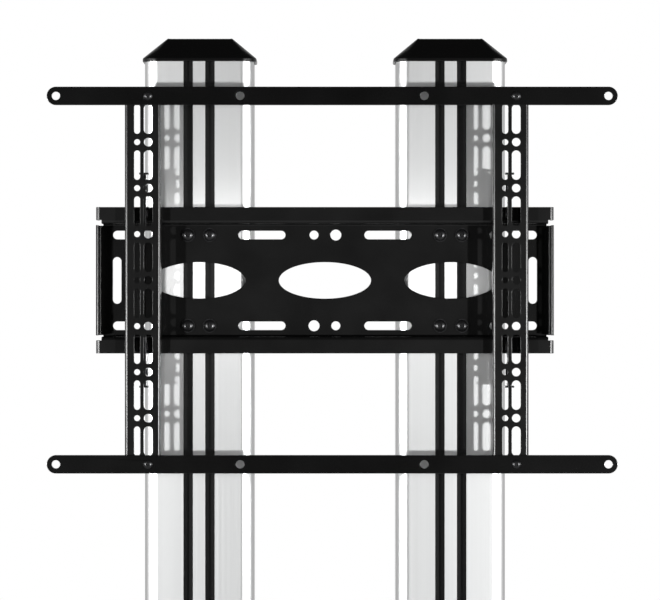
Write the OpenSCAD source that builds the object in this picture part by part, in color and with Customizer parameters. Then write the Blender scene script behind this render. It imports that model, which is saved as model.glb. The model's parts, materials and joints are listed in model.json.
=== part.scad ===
// Floor stand for a flat display: two aluminium columns on a steel base, with a
// wall-plate style carriage, two hook-on arms and two drilled cross bars.
// The front faces -Y. The origin is on the floor, under the middle of the base.

/* [Columns] */
// Length of each column
col_h = 1713; // [1200:1:2400]
// Width of a column, seen from the front
col_w = 121; // [110:1:160]
// Depth of a column, front to back
col_d = 65; // [56:1:100]
// Radius of a column's corners
col_r = 15; // [8:0.5:16]
// Wall of the extrusion
col_wall = 2.5; // [2:0.1:3.5]
// Distance between the two columns' centres
col_pitch = 278; // [240:1:320]
// How far the columns stand behind the middle of the base
col_back = 40; // [0:1:80]

/* [T-slots] */
// Distance between a column's two slots
slot_pitch = 24; // [23:0.5:30]
// Width of a slot's mouth
slot_w = 10.5; // [9:0.1:11]
// Thickness of the lips beside the mouth
slot_lip = 3; // [2:0.1:4]
// Width of the pocket behind the lips
slot_in_w = 19; // [17:0.5:20]
// Depth of the pocket behind the lips
slot_in_d = 9; // [8.8:0.1:12]

/* [Column caps] */
// Height of a cap above its lower rim
cap_h = 27; // [18:0.5:40]
// Height of the upright rim
cap_rim_h = 4; // [3:0.5:8]
// How far the rim stands proud of the column
cap_proud = 2.6; // [2:0.1:4]
// Level distance that the cap slopes in on each side
cap_slope = 27; // [10:0.5:28]
// Wall of the cap
cap_wall = 2.2; // [1.5:0.1:3]

/* [Base] */
// Length of each leg, front to back
leg_l = 700; // [500:10:1000]
// Width of each leg
leg_w = 80; // [60:1:100]
// Height of the leg and beam tubes
leg_h = 50; // [40:1:80]
// Distance between the two legs' centres
leg_pitch = 820; // [760:10:1200]
// Wall of the leg tubes
leg_wall = 3; // [2:0.5:5]
// Depth of the cross beam, front to back
beam_d = 140; // [130:1:200]
// Wall of the cross beam
beam_wall = 4; // [3:0.5:6]
// Height of the rubber floor pads
pad_h = 6; // [4:0.5:12]
// Thickness of the plate under each column
shoe_t = 8; // [6:0.5:12]
// Height of the collar round each column's foot
collar_h = 80; // [40:1:140]
// Wall of the collar
collar_wall = 4; // [3:0.5:6]

/* [Wall plate] */
// Distance of the plate's middle below the columns' top
mount_drop = 246; // [76:1:900]
// Overall width of the plate
plate_w = 500.5; // [498:0.5:520]
// Overall height of the plate, lip to lip
plate_h = 160; // [156:1:180]
// Sheet thickness of the plate
plate_t = 2.5; // [2:0.1:3]
// Height of the plate's web, without the lips
web_h = 128.6; // [120:0.2:136]
// Depth of the tray from the web's back to the lips' front
tray_d = 32.5; // [28:0.5:40]
// Height between the two rows of screw holes
row_pitch = 100; // [90:1:104]
// Distance that the plate stands off the columns
spacer_t = 5; // [3:0.5:10]

/* [Arms and bars] */
// Length of each arm
arm_l = 416; // [412:1:420]
// Width of each arm
arm_w = 39; // [34:0.5:44]
// Depth of an arm's side flanges
arm_d = 20; // [19:0.5:24]
// Sheet thickness of the arms
arm_t = 2; // [1.5:0.1:3]
// Distance between two rows of holes in an arm
hole_pitch = 50; // [48:1:50]
// Distance between the two columns of holes in an arm
hole_gap = 12; // [11.5:0.1:14]
// Length of the slots between the holes
slot_l = 32; // [26:0.5:33]
// Length of each cross bar
bar_l = 620; // [616:1:640]
// Height of each cross bar
bar_h = 20; // [16:0.5:24]
// Thickness of each cross bar
bar_t = 4; // [3:0.5:6]
// Distance between two holes along a bar
bar_pitch = 100; // [98:1:100]
// Distance of the arms from the middle of the plate
side_shift = 8; // [-20:1:20]

/* [Locks] */
// Travel of a locking slide when it is pulled down
lock_travel = 10; // [8:0.5:13]
// Length of the hook plates and locking slides
hook_l = 234; // [224:1:240]

/* [Hidden] */
$fn = 48;

// Clearances: over (overrun of a cut), play (parts that slide in each other), fit (screw in its hole)
over = 1;
play = 0.3;
fit = 0.05;

// Colours as the photograph shows them
steel_black = [0.10, 0.10, 0.11];
plastic_black = [0.05, 0.05, 0.05];
silver = [0.80, 0.81, 0.82];
screw_black = [0.07, 0.07, 0.08];
zinc = [0.62, 0.63, 0.65];

// Levels from the floor up
leg_top = pad_h + leg_h;
col_z = leg_top + shoe_t;
col_top = col_z + col_h;
cap_z = col_top - cap_rim_h;
mount_h = col_top - mount_drop;

// Column section
face_y = col_back - col_d / 2;
block_w = slot_pitch + slot_in_w + 2 * col_wall;
block_d = slot_lip + slot_in_d + col_wall;
chamber_w = col_w / 2 - col_wall - block_w / 2;
chamber_x = block_w / 2 + chamber_w / 2;
port_r = 7.5;
port_bore_r = 4.05;
port_sink = 0.5;
// The ports stand on the diagonals of the column's corners
port_in = col_r - (col_r - port_r - port_sink) * cos(45);
port_x = col_w / 2 - port_in;
port_y = col_d / 2 - port_in;
liner_t = 0.8;

// Sheet bends: inner radius of each sheet, and the outer radius that goes with it
bend_r = 1.5;
plate_bend = bend_r + plate_t;
arm_bend_r = 1;
arm_bend = arm_bend_r + arm_t;

// Depths in front of the columns' faces
web_back = spacer_t;
web_front = web_back + plate_t;
lip_front = web_back + tray_d;
lip_back = lip_front - plate_t;
arm_gap = 0.5;
arm_back = lip_front + arm_gap;
arm_front = arm_back + arm_d;
arm_inside = arm_front - arm_t;
bar_front = arm_front + bar_t;

// Wall plate
corner_cut = 4;
corner_in = 6;
web_slot_l = 52;
web_slot_w = 9.4;
web_slot_in = 69.5;
web_slot_out = 207.5;
pair_x = 12;
pair_small_r = 4.9;
pair_large_r = 6;
end_slot_x = 229;
end_slot_l = 51.5;
oval_w = 101.6;
oval_h = 40.2;
oval_points = 72;
lip_return = 22;

// Screws that hold the plate
screw_r = 4;
screw_head_r = 6.6;
screw_head_h = 4.2;
screw_len = 20;
socket_af = 5;
socket_depth = 2.6;
rim_share = 0.25;
washer_r = 7.7;
washer_t = 1.6;
spacer_r = 8;
nut_side = 0.5;
nut_w = slot_in_w - 2 * nut_side;
nut_l = 22;
nut_t = 6;

// Arms
small_r = 3.25;
large_r = 4.6;
large_slot_r = 4.75;
arm_rows = [-4:4];
slot_rows = [-3.5:3.5];
arm_shift = hole_gap / 2;
arm_reach = 2 * bar_pitch;
arm_x_left = side_shift - arm_reach - arm_shift;
arm_x_right = side_shift + arm_reach - arm_shift;

// Cross bars
bar_z = 4 * hole_pitch;
bar_hole_r = 4.5;
bar_screw_r = 3;
bar_screw_hole_r = 3.3;
bar_head_r = 4.9;
bar_head_h = 3;
bar_socket_af = 4;
bar_socket_depth = 1.8;
bar_nut_af = 10;
bar_nut_h = 4.2;
bar_flange_r = 7;
bar_flange_h = 1.2;

// Hook plates
hook_t = 2.5;
hook_back = lip_front + play;
hook_reach = 10.2;
hook_over = 16;
lip_clear = 1;
hook_down = lock_travel - lip_clear;
hook_finger = lip_back - play;
hook_tip = 2.4;
hook_neck = 12;
hook_tab = 2.7;
tab_t = 2;

// Strips beside each hook plate: a fixed doubler at its upper end, a locking slide at its lower end
lock_t = 2;
lock_gap = 0.2;
lock_in = hook_t / 2 + lock_gap;
lock_out = lock_in + lock_t;
lock_tab = 2.5;
lock_inset_back = 1.2;
lock_inset_front = 1;
lock_back = hook_back + lock_inset_back;
lock_front = arm_inside - lock_inset_front;
lock_web = 2.2;
strip_l = 61;
strip_end = hook_l / 2 - strip_l;

// Studs, in slots of the locking slide and in bores of the doubler
stud_r = 2;
stud_head_r = 4;
stud_head_t = 1.6;
stud_inset = 17;
slot_web = 3.7;
guide_r = stud_r + play;
guide_depth = lock_front - lock_web - guide_r;
stud_high = hook_l / 2 - stud_inset;
stud_low = strip_end + slot_web + guide_r + lock_travel;

// Return springs, each in a window through both plates: its lower end rests on the hook plate
wire_r = 0.4;
coil_r = 1.85;
coil_turns = 7;
coil_pressed = 8;
coil_len = lock_travel + coil_pressed;
wire_sides = 6;
turn_steps = 8;
window_web = 4;
window_w = 2 * (coil_r + wire_r + play);
spring_x = (lock_out - hook_t / 2) / 2;
spring_depth = lock_back + lock_web + window_w / 2;
spring_top = -strip_end - window_web;
spring_foot = spring_top - coil_len;
peg_r = 1.1;
peg_l = 3;
peg_sink = 0.2;

// Base
leg_r = 6;
beam_r = 8;
pad_r = 22;
pad_edge = 1.5;
pad_inset = 40;
plug_flange = 3;
plug_depth = 14;
beam_end_t = 8;
beam_l = leg_pitch - leg_w;
beam_bolt_r = 5;
beam_bolt_y = 45;
bolt_head_af = 16;
bolt_head_h = 6.4;
tube_r = 9;
nut_af = 16;
nut_h = 8;
shoe_w = 172;
shoe_d = 120;
shoe_r = 10;
shoe_bolt_x = 75;
shoe_bolt_y = 46;
shoe_bolt_r = 5;
shoe_head_r = 8.5;
shoe_head_h = 5.5;
shoe_socket_af = 6;
shoe_socket_depth = 3.4;
csk_head_r = 7.6;
csk_head_h = 4;
csk_len = 32;

// A rectangle with round corners, about the origin
module round_rect(w, d, r) {
    square([w - 2 * r, d], center = true);
    square([w, d - 2 * r], center = true);
    for (sx = [-1, 1], sy = [-1, 1])
        translate([sx * (w / 2 - r), sy * (d / 2 - r)])
            circle(r);
}

// A slot with round ends, lying along the first axis
module slot_2d(l, r) {
    square([l - 2 * r, 2 * r], center = true);
    for (s = [-1, 1])
        translate([s * (l / 2 - r), 0])
            circle(r);
}

// A quarter ring in the first quadrant, for a bend in sheet
module quarter_ring(r, t) {
    intersection() {
        difference() {
            circle(r);
            circle(r - t);
        }
        square(r);
    }
}

// A regular hexagon by its width across flats
module hex_2d(af) {
    circle(r = af / 2 / cos(30), $fn = 6);
}

// Draws a front-view outline, t thick, with its back at the given depth in front of the columns
module facing(depth, t) {
    translate([0, -depth, 0])
        rotate([90, 0, 0])
            linear_extrude(t)
                children();
}

// Draws a side-view outline (depth forward, height) of thickness t, centred on x
module side_on(x, t) {
    translate([x, 0, 0])
        rotate([90, 0, -90])
            linear_extrude(t, center = true)
                children();
}

// The frame of the carriage: on the columns' faces, at the plate's middle
module at_mount() {
    translate([0, face_y, mount_h])
        children();
}

module at_columns() {
    for (s = [-1, 1])
        translate([s * col_pitch / 2, 0, 0])
            children();
}

// Legs: box tubes that lie front to back
module leg(side) {
    color(steel_black)
    difference() {
        translate([side * leg_pitch / 2, 0, pad_h + leg_h / 2])
            rotate([90, 0, 0])
                linear_extrude(leg_l, center = true)
                    difference() {
                        round_rect(leg_w, leg_h, leg_r);
                        round_rect(leg_w - 2 * leg_wall, leg_h - 2 * leg_wall, leg_r - leg_wall);
                    }
        for (y = [-1, 1])
            translate([side * leg_pitch / 2, col_back + y * beam_bolt_y, pad_h + leg_h / 2])
                rotate([0, 90, 0])
                    cylinder(r = beam_bolt_r + play, h = leg_w + 2 * over, center = true);
    }
}
module leg_left() { leg(-1); }
module leg_right() { leg(1); }

// Plastic plugs that close the ends of the legs
module leg_plugs() {
    color(plastic_black)
    for (x = [-1, 1], y = [-1, 1])
        translate([x * leg_pitch / 2, y * leg_l / 2, pad_h + leg_h / 2])
            rotate([y * 90, 0, 0]) {
                translate([0, 0, -plug_flange])
                    linear_extrude(plug_flange)
                        round_rect(leg_w, leg_h, leg_r);
                linear_extrude(plug_depth)
                    difference() {
                        round_rect(leg_w - 2 * leg_wall - 2 * play, leg_h - 2 * leg_wall - 2 * play,
                            leg_r - leg_wall);
                        round_rect(leg_w - 4 * leg_wall, leg_h - 4 * leg_wall, leg_r - leg_wall);
                    }
            }
}

// Rubber pads under the ends of the legs
module floor_pads() {
    color(plastic_black)
    for (x = [-1, 1], y = [-1, 1])
        translate([x * leg_pitch / 2, y * (leg_l / 2 - pad_inset), 0]) {
            cylinder(r1 = pad_r - pad_edge, r2 = pad_r, h = pad_edge);
            translate([0, 0, pad_edge])
                cylinder(r = pad_r, h = pad_h - pad_edge);
        }
}

// Cross beam: a box tube with a bolted plate at each end, drilled for the shoes
module cross_beam() {
    color(steel_black)
    difference() {
        translate([0, col_back, pad_h + leg_h / 2])
            rotate([90, 0, 90])
                difference() {
                    linear_extrude(beam_l, center = true)
                        round_rect(beam_d, leg_h, beam_r);
                    linear_extrude(beam_l - 2 * beam_end_t, center = true)
                        round_rect(beam_d - 2 * beam_wall, leg_h - 2 * beam_wall, beam_r - beam_wall);
                }
        for (x = [-1, 1], y = [-1, 1])
            translate([x * (beam_l - beam_end_t) / 2, col_back + y * beam_bolt_y, pad_h + leg_h / 2])
                rotate([0, 90, 0])
                    cylinder(r = beam_bolt_r + fit, h = beam_end_t + 2 * over, center = true);
        shoe_holes(leg_top - beam_wall - over, beam_wall + 2 * over);
    }
}

module shoe_holes(z, h) {
    at_columns()
        for (x = [-1, 1], y = [-1, 1])
            translate([x * shoe_bolt_x, col_back + y * shoe_bolt_y, z])
                cylinder(r = shoe_bolt_r + play, h = h);
}

// The four places of the bolts that hold the beam between the legs
module at_beam_bolts() {
    for (x = [-1, 1], y = [-1, 1])
        translate([x * (leg_pitch + leg_w) / 2, col_back + y * beam_bolt_y, pad_h + leg_h / 2])
            rotate([0, x * 90, 0])
                children();
}

// Tubes inside the legs that keep the bolts from crushing them
module crush_tubes() {
    color(zinc)
    at_beam_bolts()
        translate([0, 0, -leg_w + leg_wall])
            difference() {
                cylinder(r = tube_r, h = leg_w - 2 * leg_wall);
                translate([0, 0, -over])
                    cylinder(r = beam_bolt_r + play, h = leg_w);
            }
}

module beam_bolts() {
    color(screw_black)
    at_beam_bolts() {
        linear_extrude(bolt_head_h)
            hex_2d(bolt_head_af);
        translate([0, 0, -leg_w - beam_end_t - nut_h - over])
            cylinder(r = beam_bolt_r, h = leg_w + beam_end_t + nut_h + over);
    }
}

module beam_nuts() {
    color(zinc)
    at_beam_bolts()
        translate([0, 0, -leg_w - beam_end_t - nut_h])
            linear_extrude(nut_h)
                difference() {
                    hex_2d(nut_af);
                    circle(beam_bolt_r + fit);
                }
}

// Shoe: a plate bolted to the beam, with a collar round the column
module shoe(side) {
    color(steel_black)
    difference() {
        translate([side * col_pitch / 2, col_back, leg_top]) {
            linear_extrude(shoe_t)
                round_rect(shoe_w, shoe_d, shoe_r);
            translate([0, 0, shoe_t])
                linear_extrude(collar_h)
                    difference() {
                        round_rect(col_w + 2 * (play + collar_wall), col_d + 2 * (play + collar_wall),
                            col_r + play + collar_wall);
                        round_rect(col_w + 2 * play, col_d + 2 * play, col_r + play);
                    }
        }
        shoe_holes(leg_top - over, shoe_t + 2 * over);
        at_ports(leg_top) {
            translate([0, 0, -over])
                cylinder(r = port_bore_r + play, h = shoe_t + 2 * over);
            cylinder(r1 = csk_head_r + play, r2 = screw_r + play, h = csk_head_h);
            translate([0, 0, -over])
                cylinder(r = csk_head_r + play, h = over);
        }
    }
}
module shoe_left() { shoe(-1); }
module shoe_right() { shoe(1); }

// The screw ports at the foot of both columns
module at_ports(z) {
    at_columns()
        for (x = [-1, 1], y = [-1, 1])
            translate([x * port_x, col_back + y * port_y, z])
                children();
}

module shoe_bolts() {
    color(screw_black)
    at_columns()
        for (x = [-1, 1], y = [-1, 1])
            translate([x * shoe_bolt_x, col_back + y * shoe_bolt_y, col_z]) {
                difference() {
                    cylinder(r = shoe_head_r, h = shoe_head_h);
                    translate([0, 0, shoe_head_h - shoe_socket_depth])
                        linear_extrude(shoe_socket_depth + over)
                            hex_2d(shoe_socket_af);
                }
                translate([0, 0, -shoe_t - beam_wall - nut_h - over])
                    cylinder(r = shoe_bolt_r, h = shoe_t + beam_wall + nut_h + over);
            }
}

module shoe_nuts() {
    color(zinc)
    at_columns()
        for (x = [-1, 1], y = [-1, 1])
            translate([x * shoe_bolt_x, col_back + y * shoe_bolt_y, leg_top - beam_wall - nut_h])
                linear_extrude(nut_h)
                    difference() {
                        hex_2d(nut_af);
                        circle(shoe_bolt_r + fit);
                    }
}

// Countersunk screws, up through the shoe into the ports of the extrusion
module column_screws() {
    color(zinc)
    at_ports(leg_top) {
        cylinder(r1 = csk_head_r, r2 = screw_r, h = csk_head_h);
        cylinder(r = screw_r, h = csk_len);
    }
}

// T-slot outline, with its mouth on the first axis and its pocket towards +y
module t_slot_2d() {
    translate([-slot_w / 2, -over])
        square([slot_w, slot_lip + 2 * over]);
    translate([-slot_in_w / 2, slot_lip])
        square([slot_in_w, slot_in_d]);
}

// Section of the extrusion: two T-slots front and back, three chambers and four screw ports
module column_2d() {
    difference() {
        union() {
            difference() {
                round_rect(col_w, col_d, col_r);
                for (s = [-1, 1])
                    translate([s * chamber_x, 0])
                        round_rect(chamber_w, col_d - 2 * col_wall, col_r - col_wall);
                round_rect(block_w - 2 * col_wall, col_d - 2 * block_d, col_wall);
            }
            for (x = [-1, 1], y = [-1, 1])
                translate([x * port_x, y * port_y])
                    circle(port_r);
        }
        for (x = [-1, 1], y = [-1, 1])
            translate([x * port_x, y * port_y])
                circle(port_bore_r);
        for (x = [-1, 1], f = [0, 1])
            rotate(f * 180)
                translate([x * slot_pitch / 2, -col_d / 2])
                    t_slot_2d();
    }
}

module column(side) {
    color(silver)
    translate([side * col_pitch / 2, col_back, col_z])
        linear_extrude(col_h)
            column_2d();
}
module column_left() { column(-1); }
module column_right() { column(1); }

// Outline of the cap at a given inset from its rim; the inset ends where the ridge would become too narrow
module cap_2d(inset) {
    drawn_in = min(inset, col_d / 2 + cap_proud - cap_wall) - cap_proud;
    round_rect(col_w - 2 * drawn_in, col_d - 2 * drawn_in, max(col_r - drawn_in, cap_wall));
}

// Solid of the cap's outside, drawn in by a wall on every side
module cap_form(wall) {
    hull() {
        linear_extrude(cap_rim_h)
            cap_2d(wall);
        translate([0, 0, cap_h - wall - cap_wall / 2])
            linear_extrude(cap_wall / 2)
                cap_2d(cap_slope + wall);
    }
}

// Cap: a hollow hipped moulding with a rim that drops over the column and two plugs
module cap(side) {
    color(plastic_black)
    translate([side * col_pitch / 2, col_back, cap_z]) {
        difference() {
            cap_form(0);
            translate([0, 0, -over])
                linear_extrude(cap_rim_h + over)
                    round_rect(col_w + 2 * play, col_d + 2 * play, col_r + play);
            cap_form(cap_proud + 2 * cap_wall);
        }
        for (s = [-1, 1])
            translate([s * chamber_x, 0, cap_rim_h - plug_depth])
                linear_extrude(plug_depth + cap_rim_h)
                    difference() {
                        round_rect(chamber_w - 2 * play - 2 * cap_wall, 2 * (port_y - port_r - play), cap_wall);
                        round_rect(chamber_w - 2 * play - 4 * cap_wall, 2 * (port_y - port_r - play) - 2 * cap_wall,
                            cap_wall / 2);
                    }
    }
}
module cap_left() { cap(-1); }
module cap_right() { cap(1); }

// Black strips on the floor of the front slots
module slot_liners(side) {
    color(plastic_black)
    for (s = [-1, 1])
        translate([side * col_pitch / 2 + s * slot_pitch / 2, face_y + slot_lip + slot_in_d - liner_t / 2,
            col_z + col_h / 2])
            cube([slot_in_w - play, liner_t, col_h], center = true);
}
module slot_liners_left() { slot_liners(-1); }
module slot_liners_right() { slot_liners(1); }

// Snap-in strips that close the rear slots
module rear_infill(side) {
    barb_t = 1.6;
    color(plastic_black)
    for (s = [-1, 1])
        translate([side * col_pitch / 2 + s * slot_pitch / 2, face_y + col_d, col_z])
            linear_extrude(col_h) {
                translate([-slot_w / 2 + play, -slot_lip])
                    square([slot_w - 2 * play, slot_lip]);
                translate([-slot_w / 2 - barb_t, -slot_lip - barb_t])
                    square([slot_w + 2 * barb_t, barb_t]);
            }
}
module rear_infill_left() { rear_infill(-1); }
module rear_infill_right() { rear_infill(1); }

// Half of the plate's folded section (depth forward, height): web, ledge and hook lip
module plate_section() {
    translate([web_back, 0])
        square([plate_t, web_h / 2 - plate_bend]);
    translate([web_back + plate_bend, web_h / 2 - plate_bend])
        mirror([1, 0])
            quarter_ring(plate_bend, plate_t);
    translate([web_back + plate_bend, web_h / 2 - plate_t])
        square([tray_d - 2 * plate_bend, plate_t]);
    translate([lip_front - plate_bend, web_h / 2 + plate_bend - plate_t])
        mirror([0, 1])
            quarter_ring(plate_bend, plate_t);
    lip_2d();
}

module lip_2d() {
    translate([lip_back, web_h / 2 + plate_bend - plate_t])
        square([plate_t, (plate_h - web_h) / 2 - plate_bend + plate_t]);
}

// Ellipse by a formula, half axes a and b
module oval_2d(a, b) {
    polygon([for (i = [0:oval_points - 1]) [a * cos(360 * i / oval_points), b * sin(360 * i / oval_points)]]);
}

// The openings of the web, seen from the front
module web_holes_2d() {
    for (y = [-1, 1]) {
        for (x = [-web_slot_out, -web_slot_in, web_slot_in, web_slot_out])
            translate([x, y * row_pitch / 2])
                slot_2d(web_slot_l, web_slot_w / 2);
        translate([-y * pair_x, y * row_pitch / 2])
            circle(pair_small_r);
        translate([y * pair_x, y * row_pitch / 2])
            circle(pair_large_r);
    }
    for (x = [-1, 1]) {
        translate([x * end_slot_x, 0])
            rotate(90)
                slot_2d(end_slot_l, web_slot_w / 2);
        translate([x * col_pitch / 2, 0])
            oval_2d(oval_w / 2, oval_h / 2);
    }
    oval_2d(oval_w / 2, oval_h / 2);
    for (x = [-1, 1], s = [-1, 1], y = [-1, 1])
        translate([x * col_pitch / 2 + s * slot_pitch / 2, y * row_pitch / 2])
            circle(screw_r + play);
}

// Wall plate: one folded sheet, a tray with a hook lip along the top and the bottom
module wall_plate() {
    side_h = web_h - 2 * corner_cut;
    color(steel_black)
    at_mount() {
        difference() {
            for (v = [0, 1])
                mirror([0, 0, v])
                    side_on(0, plate_w - 2 * corner_in)
                        plate_section();
            facing(web_back - over, plate_t + 2 * over)
                web_holes_2d();
        }
        for (x = [0, 1])
            mirror([x, 0, 0]) {
                translate([plate_w / 2 - corner_in, -web_front, -side_h / 2])
                    cube([corner_in - plate_bend, plate_t, side_h]);
                translate([plate_w / 2 - plate_bend, -web_back - plate_bend, -side_h / 2])
                    linear_extrude(side_h) {
                        quarter_ring(plate_bend, plate_t);
                        translate([bend_r, plate_bend - tray_d])
                            square([plate_t, tray_d - plate_bend]);
                    }
                for (v = [0, 1])
                    mirror([0, 0, v])
                        lip_end();
            }
    }
}

// The last stretch of a hook lip, folded back round the end of the plate
module lip_end() {
    lip_z = web_h / 2 + plate_bend - plate_t;
    lip_l = plate_h / 2 - lip_z;
    translate([plate_w / 2 - corner_in, -lip_front, lip_z])
        cube([corner_in - plate_bend, plate_t, lip_l]);
    translate([plate_w / 2 - plate_bend, plate_bend - lip_front, lip_z])
        linear_extrude(lip_l) {
            mirror([0, 1])
                quarter_ring(plate_bend, plate_t);
            translate([bend_r, 0])
                square([plate_t, lip_return]);
        }
}

// The eight places where the plate is held to the T-slots
module at_plate_screws(depth) {
    at_mount()
        for (c = [-1, 1], s = [-1, 1], r = [-1, 1])
            translate([c * col_pitch / 2 + s * slot_pitch / 2, -depth, r * row_pitch / 2])
                rotate([90, 0, 0])
                    children();
}

module plate_screws() {
    color(screw_black)
    at_plate_screws(web_front + washer_t) {
        difference() {
            button_head(screw_head_r, screw_head_h);
            translate([0, 0, screw_head_h - socket_depth])
                linear_extrude(socket_depth + over)
                    hex_2d(socket_af);
        }
        translate([0, 0, -screw_len])
            cylinder(r = screw_r, h = screw_len);
    }
}

// A low domed head: the cap of a ball over a short rim
module button_head(r, h) {
    rim_h = rim_share * h;
    dome_h = h - rim_h;
    dome_r = (r * r + dome_h * dome_h) / (2 * dome_h);
    cylinder(r = r, h = rim_h);
    translate([0, 0, rim_h])
        intersection() {
            translate([0, 0, dome_h - dome_r])
                sphere(dome_r);
            cylinder(r = r, h = dome_h);
        }
}

module plate_washers() {
    color(screw_black)
    at_plate_screws(web_front)
        ring(washer_r, screw_r + fit, washer_t);
}

module plate_spacers() {
    color(plastic_black)
    at_plate_screws(0)
        ring(spacer_r, screw_r + fit, spacer_t);
}

module ring(r, bore, h) {
    linear_extrude(h)
        difference() {
            circle(r);
            circle(bore);
        }
}

// Nuts that slide in the pockets of the front slots
module t_nuts() {
    color(zinc)
    at_plate_screws(-slot_lip - play / 3 - nut_t)
        linear_extrude(nut_t)
            difference() {
                square([nut_w, nut_l], center = true);
                circle(screw_r + fit);
            }
}

// Channel section of an arm: web to the front, flanges to the back
module channel_2d() {
    difference() {
        open_back(arm_w, arm_d, arm_bend);
        translate([0, over])
            open_back(arm_w - 2 * arm_t, arm_d - arm_t + over, arm_bend_r);
    }
}

// A block with its back on the given depth and two round front corners
module open_back(w, d, r) {
    translate([-w / 2, -arm_back - d + r])
        square([w, d - r]);
    translate([r - w / 2, -arm_back - d])
        square([w - 2 * r, r]);
    for (s = [-1, 1])
        translate([s * (w / 2 - r), -arm_back - d + r])
            circle(r);
}

// The two columns of holes and slots in an arm's web
module arm_holes_2d() {
    for (i = arm_rows) {
        translate([-hole_gap / 2, i * hole_pitch])
            circle(small_r);
        translate([hole_gap / 2, i * hole_pitch])
            circle(large_r);
    }
    for (i = slot_rows) {
        translate([-hole_gap / 2, i * hole_pitch])
            rotate(90)
                slot_2d(slot_l, small_r);
        translate([hole_gap / 2, i * hole_pitch])
            rotate(90)
                slot_2d(slot_l, large_slot_r);
    }
}

module arm(x) {
    color(steel_black)
    at_mount()
        translate([x, 0, 0])
            difference() {
                translate([0, 0, -arm_l / 2])
                    linear_extrude(arm_l)
                        channel_2d();
                facing(arm_inside - over, arm_t + 2 * over)
                    arm_holes_2d();
            }
}
module arm_left() { arm(arm_x_left); }
module arm_right() { arm(arm_x_right); }

// The inner side of an arm: x is mirrored so that +x points to the middle of the stand
module in_arm(side) {
    at_mount()
        translate([side < 0 ? arm_x_left : arm_x_right, 0, 0])
            mirror([side < 0 ? 0 : 1, 0, 0])
                children();
}

// Side view of the hook plate: a strip in the channel with a hook over the upper lip
module hook_2d() {
    top = hook_l / 2;
    seat = plate_h / 2 + play;
    finger_back = hook_finger - hook_reach + hook_tip;
    polygon([
        [arm_inside, -top],
        [arm_inside, top],
        [arm_inside - hook_neck, top],
        [hook_back - hook_tip, seat + hook_over + hook_tip],
        [finger_back, seat + hook_over - hook_tip],
        [finger_back, seat - hook_down + hook_tip],
        [finger_back + hook_tip, seat - hook_down],
        [hook_finger - hook_tip, seat - hook_down],
        [hook_finger, seat - hook_down + hook_tip],
        [hook_finger, seat],
        [hook_back, seat],
        [hook_back, -top + hook_tip],
        [hook_back + hook_tip, -top]
    ]);
}

module hook_plate(side) {
    color(steel_black)
    in_arm(side) {
        difference() {
            side_on(0, hook_t)
                hook_2d();
            for (v = [0, 1])
                mirror([0, 0, v])
                    at_studs()
                        cylinder(r = stud_r + fit, h = hook_t + 2 * over, center = true);
            side_on(0, hook_t + 2 * over)
                spring_window(spring_foot, coil_len + peg_sink + play);
        }
        for (v = [0, 1])
            mirror([0, 0, v])
                end_tab(-hook_t / 2 - hook_tab, hook_tab);
        spring_peg(spring_foot - peg_sink);
    }
}
module hook_plate_left() { hook_plate(-1); }
module hook_plate_right() { hook_plate(1); }

// The upper studs of one arm, seen along x; mirrored for the lower ones
module at_studs() {
    for (z = [stud_low, stud_high])
        translate([0, -guide_depth, z])
            rotate([0, 90, 0])
                children();
}

// A bent tab on the upper end of a plate or strip
module end_tab(from_x, l) {
    translate([from_x, -lock_front, hook_l / 2 - tab_t])
        cube([l, lock_front - lock_back, tab_t]);
}

module spring_window(z, h) {
    translate([spring_depth - window_w / 2, z])
        square([window_w, h]);
}

// A peg that keeps an end of the spring in place
module spring_peg(z) {
    translate([spring_x, -spring_depth, z])
        cylinder(r = peg_r, h = peg_l + peg_sink);
}

// Side view of a strip with its hook behind the lower lip
module strip_2d() {
    seat = -plate_h / 2 - play;
    finger_back = hook_finger - hook_reach + hook_tip;
    translate([lock_back, -hook_l / 2])
        square([lock_front - lock_back, strip_l]);
    polygon([
        [lock_front, seat],
        [hook_finger, seat],
        [hook_finger, seat + hook_down - hook_tip],
        [hook_finger - hook_tip, seat + hook_down],
        [finger_back + hook_tip, seat + hook_down],
        [finger_back, seat + hook_down - hook_tip],
        [finger_back, seat - hook_over + hook_tip],
        [finger_back + hook_tip, seat - hook_over],
        [lock_front, seat - hook_over]
    ]);
}

// Doublers: riveted beside the upper ends of the hook plates, over the same lip
module hook_doublers() {
    color(steel_black)
    for (side = [-1, 1])
        in_arm(side) {
            difference() {
                mirror([0, 0, 1])
                    side_on((lock_out + hook_t / 2) / 2, lock_out - hook_t / 2)
                        strip_2d();
                at_studs()
                    cylinder(r = stud_r + fit, h = lock_out + over);
            }
            end_tab(hook_t / 2, lock_out + lock_tab - hook_t / 2);
        }
}

// Locking slide: slots that run on the studs, and a window for the spring
module lock_slide(side) {
    color(screw_black)
    in_arm(side) {
        side_on(lock_in + lock_t / 2, lock_t)
            difference() {
                strip_2d();
                for (z = [stud_low, stud_high])
                    translate([guide_depth, lock_travel / 2 - z])
                        rotate(90)
                            slot_2d(lock_travel + 2 * guide_r, guide_r);
                spring_window(spring_foot - peg_sink - play, coil_len + peg_sink + play);
            }
        mirror([0, 0, 1])
            end_tab(lock_in, lock_t + lock_tab);
        spring_peg(spring_top - peg_l);
    }
}
module lock_slide_left() { lock_slide(-1); }
module lock_slide_right() { lock_slide(1); }

// Turned studs: riveted into both hook plates, with a flat head beside the strips
module guide_studs() {
    color(screw_black)
    for (side = [-1, 1], v = [0, 1])
        in_arm(side)
            mirror([0, 0, v])
                at_studs() {
                    translate([0, 0, -hook_t / 2])
                        cylinder(r = stud_r, h = hook_t / 2 + lock_out + play);
                    translate([0, 0, lock_out + play])
                        cylinder(r = stud_head_r, h = stud_head_t);
                }
}

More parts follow.
